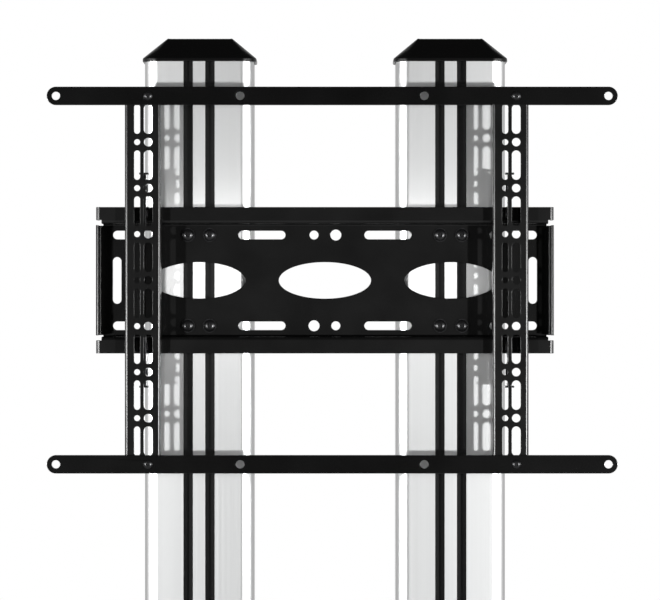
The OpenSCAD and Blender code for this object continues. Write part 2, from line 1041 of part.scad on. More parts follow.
// Places along the spring's wire, and the least gap between its turns
coil_steps = coil_turns * turn_steps;
coil_rise = coil_len - 2 * (play + wire_r);
spring_path = [for (i = [0:coil_steps]) [
    spring_x + coil_r * sin(360 * i / turn_steps),
    -spring_depth + coil_r * cos(360 * i / turn_steps),
    spring_foot + play + wire_r + coil_rise * i / coil_steps]];
spring_gap = min([for (i = [0:coil_steps - turn_steps], j = [i + turn_steps - 1:min(i + turn_steps + 1, coil_steps)])
    norm(spring_path[j] - spring_path[i])]) - 2 * wire_r;
echo(least_gap_between_spring_turns = spring_gap);

// A round wire swept along a path, with frames carried from ring to ring
function unit(v) = v / norm(v);
function tangent(p, i) = unit(p[min(i + 1, len(p) - 1)] - p[max(i - 1, 0)]);
function carried(n, t) = unit(n - (n * t) * t);
module wire(path, r, sides) {
    n = len(path);
    normals = [for (i = 0, v = carried([1, 0.1, 0.2], tangent(path, 0)); i < n;
        i = i + 1, v = i < n ? carried(v, tangent(path, i)) : v) v];
    rings = [for (i = [0:n - 1]) let (t = tangent(path, i), u = normals[i], w = cross(t, u))
        for (k = [0:sides - 1]) path[i] + r * (cos(360 * k / sides) * u + sin(360 * k / sides) * w)];
    walls = [for (i = [0:n - 2], k = [0:sides - 1]) let (a = i * sides + k, b = i * sides + (k + 1) % sides)
        each [[a, a + sides, b], [b, a + sides, b + sides]]];
    first = [for (k = [1:sides - 2]) [0, k, k + 1]];
    last = [for (k = [1:sides - 2]) [(n - 1) * sides, (n - 1) * sides + k + 1, (n - 1) * sides + k]];
    polyhedron(rings, concat(walls, first, last), convexity = 10);
}

module lock_spring(side) {
    color(zinc)
    in_arm(side)
        wire(spring_path, wire_r, wire_sides);
}
module lock_spring_left() { lock_spring(-1); }
module lock_spring_right() { lock_spring(1); }

// Cross bar: a flat bar with round ends; the display is bolted to its free holes
module bar(v) {
    color(steel_black)
    at_mount()
        translate([side_shift, 0, v * bar_z])
            facing(arm_front, bar_t)
                difference() {
                    slot_2d(bar_l, bar_h / 2);
                    for (x = [-3, -1, 1, 3])
                        translate([x * bar_pitch, 0])
                            circle(bar_hole_r);
                    for (x = [-1, 1])
                        translate([x * arm_reach, 0])
                            circle(bar_screw_hole_r);
                }
}
module bar_upper() { bar(1); }
module bar_lower() { bar(-1); }

module at_bar_screws(depth) {
    at_mount()
        for (x = [-1, 1], z = [-1, 1])
            translate([side_shift + x * arm_reach, -depth, z * bar_z])
                rotate([90, 0, 0])
                    children();
}

module bar_screws() {
    shank = bar_front - arm_inside + bar_nut_h + over;
    color(screw_black)
    at_bar_screws(bar_front) {
        difference() {
            button_head(bar_head_r, bar_head_h);
            translate([0, 0, bar_head_h - bar_socket_depth])
                linear_extrude(bar_socket_depth + over)
                    hex_2d(bar_socket_af);
        }
        translate([0, 0, -shank])
            cylinder(r = bar_screw_r, h = shank);
    }
}

module bar_nuts() {
    color(zinc)
    at_bar_screws(arm_inside)
        translate([0, 0, -bar_nut_h]) {
            linear_extrude(bar_nut_h)
                difference() {
                    hex_2d(bar_nut_af);
                    circle(bar_screw_r + fit);
                }
            translate([0, 0, bar_nut_h - bar_flange_h])
                ring(bar_flange_r, bar_screw_r + fit, bar_flange_h);
        }
}

leg_left();
leg_right();
leg_plugs();
floor_pads();
cross_beam();
crush_tubes();
beam_bolts();
beam_nuts();
shoe_left();
shoe_right();
shoe_bolts();
shoe_nuts();
column_screws();
column_left();
column_right();
cap_left();
cap_right();
slot_liners_left();
slot_liners_right();
rear_infill_left();
rear_infill_right();
wall_plate();
plate_screws();
plate_washers();
plate_spacers();
t_nuts();
arm_left();
arm_right();
hook_plate_left();
hook_plate_right();
hook_doublers();
guide_studs();
bar_upper();
bar_lower();
bar_screws();
bar_nuts();
lock_slide_left();
lock_slide_right();
lock_spring_left();
lock_spring_right();
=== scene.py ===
import bpy
import bmesh
import json
import math
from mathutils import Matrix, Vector


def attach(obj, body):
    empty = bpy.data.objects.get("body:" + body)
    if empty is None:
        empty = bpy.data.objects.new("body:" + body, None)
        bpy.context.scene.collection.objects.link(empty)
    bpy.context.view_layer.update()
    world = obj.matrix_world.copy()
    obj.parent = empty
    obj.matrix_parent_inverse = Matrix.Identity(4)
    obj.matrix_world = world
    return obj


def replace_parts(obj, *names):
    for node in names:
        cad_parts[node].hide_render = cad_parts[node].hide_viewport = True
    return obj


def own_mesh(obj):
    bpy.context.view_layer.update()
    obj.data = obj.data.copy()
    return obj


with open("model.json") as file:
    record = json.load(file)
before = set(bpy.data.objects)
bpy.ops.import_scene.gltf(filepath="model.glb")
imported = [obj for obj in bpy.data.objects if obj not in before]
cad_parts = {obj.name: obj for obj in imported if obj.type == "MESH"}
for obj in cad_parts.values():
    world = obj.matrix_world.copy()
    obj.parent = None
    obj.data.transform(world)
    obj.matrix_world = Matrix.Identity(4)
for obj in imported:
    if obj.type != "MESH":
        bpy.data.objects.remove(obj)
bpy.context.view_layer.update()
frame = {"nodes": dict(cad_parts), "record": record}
scene = bpy.context.scene
slotOf = {part["node"]: part["material_slot"] for part in frame["record"]["subparts"]}
bodyOf = {name: body for body, names in frame["record"]["behaviour"]["bodies"].items() for name in names}
mm = 0.001
print("frame loaded,", len(frame["nodes"]), "nodes")


def toLinear(hexCode):
    parts = [int(hexCode[i:i + 2], 16) / 255 for i in (1, 3, 5)]
    return tuple(c / 12.92 if c < 0.04045 else ((c + 0.055) / 1.055) ** 2.4 for c in parts) + (1.0,)


def addNode(tree, kind, inputs=None, **settings):
    node = tree.nodes.new(kind)
    for name, value in settings.items():
        setattr(node, name, value)
    for name, value in (inputs or {}).items():
        if isinstance(value, bpy.types.NodeSocket):
            tree.links.new(value, node.inputs[name])
        else:
            node.inputs[name].default_value = value
    return node


# camera: far off and level with the plate, as the photo was taken
photoCamera = {"place": (0.0056, -3.5925, 1.5094), "lens": 177.8, "sensor": 36.0, "farthest": 60.0}
cameraData = bpy.data.cameras.new("photo camera")
cameraData.lens = photoCamera["lens"]
cameraData.sensor_width = photoCamera["sensor"]
cameraData.clip_end = photoCamera["farthest"]
camera = bpy.data.objects.new("photo camera", cameraData)
camera.location = photoCamera["place"]
camera.rotation_euler = (math.radians(90), 0, 0)
scene.collection.objects.link(camera)
scene.camera = camera
scene.view_settings.view_transform = "Standard"

# two small lamps, one on each side of the camera and lower than the plate, each flagged off the column across from
# it, the base and the floor but for a weak share; three strip lights level with the plate that show only in gloss:
# two to the sides, off the base, and one behind the camera, for the columns and their slots alone; and a wide soft
# light above for the floor and the base
lamps = {"side": 2.1, "front": -3.69, "height": 1.212, "size": 0.13, "powerLeft": 157.0, "powerRight": 195.0,
         "acrossLeft": 0.08, "acrossRight": 0.19, "aim": (0.0, 0.0, 1.45)}
strip = {"aside": -0.11, "front": -3.75, "height": 1.585, "width": 0.83, "rise": 0.27, "power": 1.85}
sideStrips = {"aside": 2.87, "front": -2.0, "height": 1.537, "width": 3.0, "rise": 0.28, "power": 98.0}
softLight = {"height": 5.0, "size": 5.0, "power": 175.0}
basePieces = ["leg_left", "leg_right", "cross_beam", "shoe_left", "shoe_right", "leg_plugs"]


def addLamp(name, place, aim, width, rise, power):
    lampData = bpy.data.lights.new(name, "AREA")
    lampData.shape = "RECTANGLE"
    lampData.size = width
    lampData.size_y = rise
    lampData.energy = power
    lamp = bpy.data.objects.new(name, lampData)
    lamp.location = place
    lamp.rotation_euler = (Vector(aim) - lamp.location).to_track_quat("-Z", "Y").to_euler()
    scene.collection.objects.link(lamp)
    return lamp


# light linking, as a flag does on a stand: the lamp lights only the pieces named, or all the others
flags = []


def flagLamp(lamp, pieces, only):
    lit = bpy.data.collections.new("pieces for the " + lamp.name)
    lamp.light_linking.receiver_collection = lit
    flags.append((lit, pieces, "INCLUDE" if only else "EXCLUDE"))


for side, sign, power, crossing in (("left", -1, lamps["powerLeft"], lamps["acrossLeft"]),
                                    ("right", 1, lamps["powerRight"], lamps["acrossRight"])):
    place = (sign * lamps["side"], lamps["front"], lamps["height"])
    across = ["column_" + ("right" if side == "left" else "left"), "floor"] + basePieces
    full = addLamp(side + " lamp", place, lamps["aim"], lamps["size"], lamps["size"], power)
    flagLamp(full, across, False)
    weak = addLamp(side + " lamp across", place, lamps["aim"], lamps["size"], lamps["size"],
                   power * crossing)
    flagLamp(weak, across, True)
glossOnly = addLamp("strip light", (strip["aside"], strip["front"], strip["height"]),
                    (strip["aside"], 0.0, strip["height"]), strip["width"], strip["rise"], strip["power"])
glossOnly.visible_diffuse = False
flagLamp(glossOnly, ["column_left", "column_right", "slot_liners_left", "slot_liners_right"], True)
for sign in (-1, 1):
    glossOnly = addLamp("side strip light", (sign * sideStrips["aside"], sideStrips["front"], sideStrips["height"]),
                        (0.0, 0.0, sideStrips["height"]), sideStrips["width"], sideStrips["rise"],
                        sideStrips["power"])
    glossOnly.visible_diffuse = False
    flagLamp(glossOnly, ["floor"] + basePieces, False)
soft = addLamp("soft light", (0.0, 0.0, softLight["height"]), (0.0, 0.0, 0.0), softLight["size"], softLight["size"],
               softLight["power"])
flagLamp(soft, ["floor"] + basePieces, True)

# the room: white to the camera, and in reflections a dark camera side, two white walls and a grey rear; each stop
# says how far round from the camera's side it stands, in degrees, and how bright it is
room = {"fill": 0.32, "ceiling": 0.03, "wallTop": 0.25, "wallEnd": 0.6,
        "stops": ((0, 0.02), (28, 0.03), (46, 0.9), (68, 1.0), (88, 0.7), (112, 0.5), (150, 0.44), (172, 0.6))}
world = bpy.data.worlds.new("photo room")
scene.world = world
world.use_nodes = True
world.cycles.sampling_method = "NONE"  # so that each kind of ray sees its own brightness
tree = world.node_tree
tree.nodes.clear()
where = addNode(tree, "ShaderNodeTexCoord")
axes = addNode(tree, "ShaderNodeSeparateXYZ", {0: where.outputs["Generated"]})
sideways = addNode(tree, "ShaderNodeMath", {0: axes.outputs["X"]}, operation="ABSOLUTE")
towards = addNode(tree, "ShaderNodeMath", {0: axes.outputs["Y"], 1: -1.0}, operation="MULTIPLY")
turn = addNode(tree, "ShaderNodeMath", {0: sideways.outputs[0], 1: towards.outputs[0]}, operation="ARCTAN2")
share = addNode(tree, "ShaderNodeMath", {0: turn.outputs[0], 1: math.pi}, operation="DIVIDE")
walls = addNode(tree, "ShaderNodeValToRGB", {"Fac": share.outputs[0]})
walls.color_ramp.elements.remove(walls.color_ramp.elements[1])
for number, (angle, bright) in enumerate(room["stops"]):
    stop = walls.color_ramp.elements.new(angle / 180) if number else walls.color_ramp.elements[0]
    stop.position = angle / 180
    stop.color = (bright, bright, bright, 1.0)
upward = addNode(tree, "ShaderNodeMath", {0: axes.outputs["Z"]}, operation="ABSOLUTE")
level = addNode(tree, "ShaderNodeMapRange", {"Value": upward.outputs[0], "From Min": room["wallTop"],
                                             "From Max": room["wallEnd"], "To Min": 1.0, "To Max": 0.0})
gloss = addNode(tree, "ShaderNodeMix", {"Factor": level.outputs["Result"], "A": room["ceiling"],
                                        "B": walls.outputs["Color"]}, data_type="FLOAT")
rays = addNode(tree, "ShaderNodeLightPath")
mirrored = addNode(tree, "ShaderNodeMath", {0: rays.outputs["Is Glossy Ray"],
                                            1: rays.outputs["Is Transmission Ray"]}, operation="MAXIMUM")
others = addNode(tree, "ShaderNodeMix", {"Factor": mirrored.outputs[0], "A": room["fill"],
                                         "B": gloss.outputs[0]}, data_type="FLOAT")
strength = addNode(tree, "ShaderNodeMix", {"Factor": rays.outputs["Is Camera Ray"],
                                           "A": others.outputs[0], "B": 1.0}, data_type="FLOAT")
light = addNode(tree, "ShaderNodeBackground", {"Color": toLinear("#ffffff"), "Strength": strength.outputs[0]})
addNode(tree, "ShaderNodeOutputWorld", {"Surface": light.outputs[0]})

# floor: plain pale paint, far below the photo's frame
floorLook = {"width": 14.0, "colour": "#dedede", "roughness": 0.85, "specular": 0.15}
bm = bmesh.new()
bmesh.ops.create_grid(bm, x_segments=1, y_segments=1, size=floorLook["width"] / 2)
floorMesh = bpy.data.meshes.new("studio floor")
bm.to_mesh(floorMesh)
bm.free()
floor = bpy.data.objects.new("studio floor", floorMesh)
scene.collection.objects.link(floor)
floorMaterial = bpy.data.materials.new("floor paint")
floorMaterial.use_nodes = True
floorShader = floorMaterial.node_tree.nodes["Principled BSDF"]
floorShader.inputs["Base Color"].default_value = toLinear(floorLook["colour"])
floorShader.inputs["Roughness"].default_value = floorLook["roughness"]
floorShader.inputs["Specular IOR Level"].default_value = floorLook["specular"]
floorMesh.materials.append(floorMaterial)
print("camera, lamps and floor ready")


def newMaterial(name, base, roughness, metallic=0.0, **sockets):
    material = bpy.data.materials.new(name)
    material.use_nodes = True
    shader = material.node_tree.nodes["Principled BSDF"]
    shader.inputs["Base Color"].default_value = toLinear(base)
    shader.inputs["Roughness"].default_value = roughness
    shader.inputs["Metallic"].default_value = metallic
    for socket, value in sockets.items():
        shader.inputs[socket.replace("_", " ")].default_value = value
    return material, material.node_tree, shader


# a grain in object space: the size of one grain is given in millimetres along x, y and z
def addGrain(tree, size, detail=2.0):
    place = addNode(tree, "ShaderNodeTexCoord")
    scaled = addNode(tree, "ShaderNodeMapping", {"Vector": place.outputs["Object"],
                                                 "Scale": [1 / (s * mm) for s in size]})
    return addNode(tree, "ShaderNodeTexNoise", {"Vector": scaled.outputs[0], "Scale": 1.0, "Detail": detail})


noiseSpan = (0.3, 0.7)  # between these lies nearly all of a noise's range


def varyRoughness(tree, shader, grain, low, high):
    spread = addNode(tree, "ShaderNodeMapRange", {"Value": grain.outputs["Fac"], "From Min": noiseSpan[0],
                                                  "From Max": noiseSpan[1], "To Min": low, "To Max": high})
    tree.links.new(spread.outputs["Result"], shader.inputs["Roughness"])


def varyColour(tree, shader, grain, dark, pale):
    mixed = addNode(tree, "ShaderNodeMix", {"Factor": grain.outputs["Fac"]}, data_type="RGBA")
    mixed.inputs["A"].default_value = toLinear(dark)
    mixed.inputs["B"].default_value = toLinear(pale)
    tree.links.new(mixed.outputs["Result"], shader.inputs["Base Color"])


def addBump(tree, shader, grain, height, strength=1.0):
    bump = addNode(tree, "ShaderNodeBump", {"Height": grain.outputs["Fac"], "Distance": height * mm,
                                            "Strength": strength})
    tree.links.new(bump.outputs["Normal"], shader.inputs["Normal"])


materials = {}

# a sprayed coat: clouds of tone and gloss, and an orange peel that breaks up the highlights
def sprayCoat(name, look, **sockets):
    material, tree, shader = newMaterial(name, look["dark"], look["low"], **sockets)
    cloud = addGrain(tree, [look["cloud"]] * 3)
    varyColour(tree, shader, cloud, look["dark"], look["pale"])
    varyRoughness(tree, shader, cloud, look["low"], look["high"])
    addBump(tree, shader, addGrain(tree, [look["grain"]] * 3, look["detail"]), look["bump"])
    return material


# polyester powder coat: satin black with a fine orange peel
coat = {"dark": "#060606", "pale": "#0b0b0b", "grain": 1.1, "detail": 2.0, "cloud": 45.0, "bump": 0.01,
        "low": 0.21, "high": 0.235}
materials["powder_coat"] = sprayCoat("powder coated steel", coat, IOR=1.34)

# the cross bars' coat: smoother and deeper black than the sheet parts
barCoat = {"dark": "#020202", "pale": "#040404", "grain": 1.4, "detail": 2.0, "cloud": 60.0, "bump": 0.006,
           "low": 0.16, "high": 0.18}
materials["bar_paint"] = sprayCoat("smooth black paint", barCoat)

# the base's coat: a coarse structure coat that takes the shine off the legs and hides scuffs
baseCoat = {"dark": "#080808", "pale": "#0d0d0d", "grain": 0.9, "detail": 3.0, "cloud": 60.0, "bump": 0.03,
            "low": 0.4, "high": 0.48}
materials["base_coat"] = sprayCoat("structure coated steel", baseCoat)

# anodised aluminium extrusion: matt silver under a clear sealed layer, with die lines too faint to see apart
anodised = {"dark": "#dcdddd", "pale": "#e2e3e3", "line": 0.9, "length": 900.0, "bump": 0.0004,
            "low": 0.34, "high": 0.36}
material, tree, shader = newMaterial("anodised aluminium", anodised["pale"], anodised["low"], 1.0,
                                      Coat_Weight=1.0, Coat_Roughness=0.1, Coat_IOR=3.3)
lines = addGrain(tree, (anodised["line"], anodised["line"], anodised["length"]), 3.0)
varyColour(tree, shader, lines, anodised["dark"], anodised["pale"])
varyRoughness(tree, shader, lines, anodised["low"], anodised["high"])
addBump(tree, shader, lines, anodised["bump"])
materials["anodised_aluminium"] = material

# moulded ABS with a spark-eroded texture: dead black, with a soft light along its edges
moulding = {"dark": "#040404", "pale": "#050505", "grain": 0.5, "bump": 0.003, "roughness": 0.19}
material, tree, shader = newMaterial("moulded abs", moulding["dark"], moulding["roughness"], IOR=1.4)
spark = addGrain(tree, [moulding["grain"]] * 3)
varyColour(tree, shader, spark, moulding["dark"], moulding["pale"])
addBump(tree, shader, spark, moulding["bump"])
materials["moulded_cap"] = material

# extruded vinyl strip: matt black, drawn lengthways
vinyl = {"dark": "#090909", "pale": "#0e0e0e", "line": 0.7, "length": 500.0, "roughness": 0.25, "bump": 0.01}
material, tree, shader = newMaterial("extruded vinyl", vinyl["dark"], vinyl["roughness"], IOR=1.4)
drawn = addGrain(tree, (vinyl["line"], vinyl["line"], vinyl["length"]))
varyColour(tree, shader, drawn, vinyl["dark"], vinyl["pale"])
addBump(tree, shader, drawn, vinyl["bump"])
materials["slot_strip"] = material

# moulded rubber: dull, with a faint bloom
rubber = {"dark": "#151515", "pale": "#242424", "grain": 2.0, "roughness": 0.85, "bump": 0.05}
material, tree, shader = newMaterial("moulded rubber", rubber["dark"], rubber["roughness"])
bloom = addGrain(tree, [rubber["grain"]] * 3, 4.0)
varyColour(tree, shader, bloom, rubber["dark"], rubber["pale"])
addBump(tree, shader, bloom, rubber["bump"])
materials["pad_rubber"] = material

# black oxide steel: oily black with a low gloss
oxide = {"dark": "#131314", "pale": "#1c1c1d", "grain": 1.2, "bump": 0.01, "low": 0.24, "high": 0.32,
         "metallic": 0.6}
material, tree, shader = newMaterial("black oxide steel", oxide["dark"], oxide["low"], oxide["metallic"])
oil = addGrain(tree, [oxide["grain"]] * 3)
varyColour(tree, shader, oil, oxide["dark"], oxide["pale"])
varyRoughness(tree, shader, oil, oxide["low"], oxide["high"])
addBump(tree, shader, oil, oxide["bump"])
materials["black_screw"] = material

# zinc plated steel: bright, bluish, with rolling marks under the plate
zinc = {"dark": "#a3a7ac", "pale": "#c0c4c8", "line": 0.6, "length": 9.0, "bump": 0.006, "low": 0.28, "high": 0.42}
material, tree, shader = newMaterial("zinc plated steel", zinc["pale"], zinc["low"], 1.0)
rolled = addGrain(tree, (zinc["line"], zinc["line"], zinc["length"]), 3.0)
varyColour(tree, shader, rolled, zinc["dark"], zinc["pale"])
varyRoughness(tree, shader, rolled, zinc["low"], zinc["high"])
addBump(tree, shader, rolled, zinc["bump"])
materials["zinc_steel"] = material

# phosphated spring wire: dark grey and smooth, with die marks too fine to see apart
wireFinish = {"dark": "#2c2c2e", "pale": "#3a3a3c", "grain": 0.8, "roughness": 0.35}
material, tree, shader = newMaterial("spring wire", wireFinish["pale"], wireFinish["roughness"], 1.0)
drawnWire = addGrain(tree, [wireFinish["grain"]] * 3)
varyColour(tree, shader, drawnWire, wireFinish["dark"], wireFinish["pale"])
materials["spring_steel"] = material

for name, obj in frame["nodes"].items():
    for held in obj.material_slots:
        held.material = materials[slotOf[name]]
print("materials ready")


# angles in degrees and lengths in millimetres for the easing of the solids' edges
easing = {"weld": 0.002, "flat": 0.6, "sharp": 38, "smooth": 32, "tall": 100.0, "margin": 1.0, "level": 0.1,
          "steps": 2, "crownSteps": 5}


# what an object's modifiers make of it, as a plain mesh
def settle(piece):
    done = bpy.data.meshes.new_from_object(piece.evaluated_get(bpy.context.evaluated_depsgraph_get()))
    piece.modifiers.clear()
    piece.data = done
    return piece


# flat faces stay flat and bends run smoothly into them
def smoothFaces(piece, angle=easing["smooth"]):
    piece.data.polygons.foreach_set("use_smooth", [True] * len(piece.data.polygons))
    piece.data.set_sharp_from_angle(angle=math.radians(angle))
    weighted = piece.modifiers.new("flat faces lead", "WEIGHTED_NORMAL")
    weighted.mode = "FACE_AREA"
    weighted.weight = 100
    weighted.keep_sharp = True
    return settle(piece)


# a CAD node's own shape with its facets merged, smooth round faces and broken edges: an edge is eased by the
# node's usual width, and a flange's inner upright edge or the edge round a crown by a width of its own
def easeEdges(name, edge, upright=0.0, crown=0.0):
    mesh = frame["nodes"][name].data.copy()
    bm = bmesh.new()
    bm.from_mesh(mesh)
    bmesh.ops.remove_doubles(bm, verts=bm.verts, dist=easing["weld"] * mm)
    bmesh.ops.dissolve_limit(bm, angle_limit=math.radians(easing["flat"]), verts=bm.verts, edges=bm.edges)
    widest = max(edge, upright, crown)
    share = bm.edges.layers.float.new("bevel_weight_edge")
    top = max(v.co.z for v in bm.verts)
    wide = max(v.co.x for v in bm.verts)
    for line in bm.edges:
        if widest and len(line.link_faces) == 2 and line.calc_face_angle(0.0) > math.radians(easing["sharp"]):
            low, high = sorted(v.co.z for v in line.verts)
            inner = abs(line.verts[0].co.x) < wide - easing["margin"] * mm
            line[share] = edge / widest
            if upright and inner and high - low > easing["tall"] * mm:
                line[share] = upright / widest
            if crown and low > top - easing["level"] * mm:
                line[share] = crown / widest
    bm.to_mesh(mesh)
    bm.free()
    mesh.materials.clear()
    mesh.materials.append(materials[slotOf[name]])
    piece = bpy.data.objects.new(name + "_eased", mesh)
    scene.collection.objects.link(piece)
    if widest:
        bevel = piece.modifiers.new("broken edge", "BEVEL")
        bevel.width = widest * mm
        bevel.segments = easing["crownSteps"] if crown else easing["steps"]
        bevel.limit_method = "WEIGHT"
        bevel.use_clamp_overlap = False
        settle(piece)
    smoothFaces(piece)
    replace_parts(piece, name)
    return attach(piece, bodyOf[name])


easedEdges = {"column_left": 0, "column_right": 0, "cap_left": 0.9, "cap_right": 0.9, "wall_plate": 0.25,
              "arm_left": 0.3, "arm_right": 0.3, "hook_plate_left": 0.3, "hook_plate_right": 0.3,
              "hook_doublers": 0.3, "lock_slide_left": 0.3, "lock_slide_right": 0.3, "bar_upper": 0.4,
              "bar_lower": 0.4, "leg_left": 0, "leg_right": 0, "leg_plugs": 0.6, "cross_beam": 0, "shoe_left": 0,
              "shoe_right": 0, "floor_pads": 0.5}
uprightEdges = {"wall_plate": 1.1}
crownEdges = {"cap_left": 2.9, "cap_right": 2.9}
shown = dict(frame["nodes"], floor=floor)
for name, edge in easedEdges.items():
    shown[name] = easeEdges(name, edge, uprightEdges.get(name, 0.0), crownEdges.get(name, 0.0))
    if name.startswith("bar_"):
        shown[name].data.materials[0] = materials["bar_paint"]
    if name in basePieces and slotOf[name] == "powder_coat":
        shown[name].data.materials[0] = materials["base_coat"]
for lit, pieces, state in flags:
    for name in pieces:
        lit.objects.link(shown[name])
        lit.collection_objects[-1].light_linking.link_state = state
print("sheet, tube and moulded parts eased")


# one tree for each kind of fastener: it stands on points that carry the direction they face
def newTree(name, sizes):
    tree = bpy.data.node_groups.new(name, "GeometryNodeTree")
    tree.is_modifier = True
    tree.interface.new_socket("Places", in_out="INPUT", socket_type="NodeSocketGeometry")
    for size in sizes:
        tree.interface.new_socket(size, in_out="INPUT", socket_type="NodeSocketFloat")
    tree.interface.new_socket("Finish", in_out="INPUT", socket_type="NodeSocketMaterial")
    tree.interface.new_socket("Made", in_out="OUTPUT", socket_type="NodeSocketGeometry")
    return tree, addNode(tree, "NodeGroupInput").outputs


def finishTree(tree, given, part):
    facing = addNode(tree, "GeometryNodeInputNamedAttribute", {"Name": "facing"}, data_type="FLOAT_VECTOR")
    turned = addNode(tree, "FunctionNodeAlignRotationToVector", {"Vector": facing.outputs["Attribute"]}, axis="Z")
    placed = addNode(tree, "GeometryNodeInstanceOnPoints", {"Points": given["Places"], "Instance": part,
                                                            "Rotation": turned.outputs[0]})
    real = addNode(tree, "GeometryNodeRealizeInstances", {"Geometry": placed.outputs[0]})
    painted = addNode(tree, "GeometryNodeSetMaterial", {"Geometry": real.outputs[0], "Material": given["Finish"]})
    addNode(tree, "NodeGroupOutput", {"Made": painted.outputs[0]})


def growPiece(name, node, tree, sizes, places, body, smooth=easing["smooth"]):
    mesh = bpy.data.meshes.new(name)
    mesh.from_pydata([p for p, d in places], [], [])
    facing = mesh.attributes.new("facing", "FLOAT_VECTOR", "POINT")
    facing.data.foreach_set("vector", [c for p, d in places for c in d])
    piece = bpy.data.objects.new(name, mesh)
    scene.collection.objects.link(piece)
    modifier = piece.modifiers.new(name, "NODES")
    modifier.node_group = tree
    for socket in tree.interface.items_tree:
        if socket.in_out == "INPUT" and socket.name in sizes:
            modifier[socket.identifier] = sizes[socket.name] * mm
        if socket.name == "Finish":
            modifier[socket.identifier] = materials[slotOf[node]]
    smoothFaces(settle(piece), smooth)
    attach(piece, body)
    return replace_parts(piece, node)


def addMath(tree, operation, *values, **settings):
    return addNode(tree, "ShaderNodeMath", dict(enumerate(values)), operation=operation, **settings).outputs[0]


# a round bar, centred on the origin and standing upright
def addRound(tree, steps, radius, depth, **inputs):
    return addNode(tree, "GeometryNodeMeshCylinder", {"Vertices": steps, "Radius": radius, "Depth": depth,
                                                      **inputs}).outputs["Mesh"]


def addLift(tree, shape, height):
    place = addNode(tree, "ShaderNodeCombineXYZ", {"Z": height})
    return addNode(tree, "GeometryNodeTransform", {"Geometry": shape, "Translation": place.outputs[0]}).outputs[0]


def joinShapes(tree, shapes):
    whole = addNode(tree, "GeometryNodeJoinGeometry")
    for shape in shapes:
        tree.links.new(shape, whole.inputs[0])
    return whole.outputs[0]


def cutShapes(tree, shape, tool):
    return addNode(tree, "GeometryNodeMeshBoolean", {"Mesh 1": shape, "Mesh 2": tool},
                   operation="DIFFERENCE").outputs["Mesh"]


# a shape that unites or intersects two others
def mergeShapes(tree, shapes, operation):
    merged = addNode(tree, "GeometryNodeMeshBoolean", operation=operation)
    for shape in shapes:
        tree.links.new(shape, merged.inputs["Mesh 2"])
    return merged.outputs["Mesh"]


# one of two shapes, by whether a size is more than nought
def chooseShape(tree, size, without, shape):
    isSet = addMath(tree, "GREATER_THAN", size, 0.0)
    choices = {"Switch": isSet, "True": shape}
    if without is not None:
        choices["False"] = without
    return addNode(tree, "GeometryNodeSwitch", choices, input_type="GEOMETRY").outputs[0]


# how finely round forms are divided, and in metres how far a cutting tool reaches past what it cuts
steps = {"head": 48, "headRings": 10, "shank": 32, "bore": 40, "wire": 10, "turn": 28}
reach = {"broach": 0.02, "drill": 0.05}

# socket screw: a turned head with a domed top and a broached hexagon, on a plain shank
screwTree, given = newTree("socket screws", ["Head Radius", "Head Height", "Rim Height", "Socket Across Flats",
                                             "Socket Depth", "Shank Radius", "Shank Length"])
blank = addRound(screwTree, steps["head"], given["Head Radius"], 1.0,
                 **{"Side Segments": 1, "Fill Segments": steps["headRings"]})
spot = addNode(screwTree, "ShaderNodeSeparateXYZ", {0: addNode(screwTree, "GeometryNodeInputPosition").outputs[0]})
flat = addNode(screwTree, "ShaderNodeCombineXYZ", {"X": spot.outputs["X"], "Y": spot.outputs["Y"]})
outward = addNode(screwTree, "ShaderNodeVectorMath", {0: flat.outputs[0]}, operation="LENGTH")
part = addMath(screwTree, "DIVIDE", outward.outputs["Value"], given["Head Radius"])
arch = addMath(screwTree, "SQRT", addMath(screwTree, "SUBTRACT", 1.0, addMath(screwTree, "POWER", part, 2.0),
                                          use_clamp=True))
domeHeight = addMath(screwTree, "SUBTRACT", given["Head Height"], given["Rim Height"])
dome = addMath(screwTree, "MULTIPLY_ADD", arch, domeHeight, given["Rim Height"])
isTop = addMath(screwTree, "GREATER_THAN", spot.outputs["Z"], 0.0)
turnedSpot = addNode(screwTree, "ShaderNodeCombineXYZ", {"X": spot.outputs["X"], "Y": spot.outputs["Y"],
                                                         "Z": addMath(screwTree, "MULTIPLY", dome, isTop)})
head = addNode(screwTree, "GeometryNodeSetPosition", {"Geometry": blank, "Position": turnedSpot.outputs[0]})
corner = addMath(screwTree, "DIVIDE", given["Socket Across Flats"], math.sqrt(3))
socketFloor = addMath(screwTree, "SUBTRACT", given["Head Height"], given["Socket Depth"])
broach = addLift(screwTree, addRound(screwTree, 6, corner, reach["broach"]),
                 addMath(screwTree, "ADD", socketFloor, reach["broach"] / 2))
broached = cutShapes(screwTree, head.outputs[0], broach)
shank = addLift(screwTree, addRound(screwTree, steps["shank"], given["Shank Radius"], given["Shank Length"]),
                addMath(screwTree, "MULTIPLY", given["Shank Length"], -0.5))
finishTree(screwTree, given, joinShapes(screwTree, [broached, shank]))

# hexagon head or nut: a prism chamfered by a cone, with a flange, a bore or a shank where its size isn't nought
hexTree, given = newTree("hexagon parts", ["Across Flats", "Height", "Flange Radius", "Flange Height",
                                           "Bore Radius", "Shank Radius", "Shank Length"])
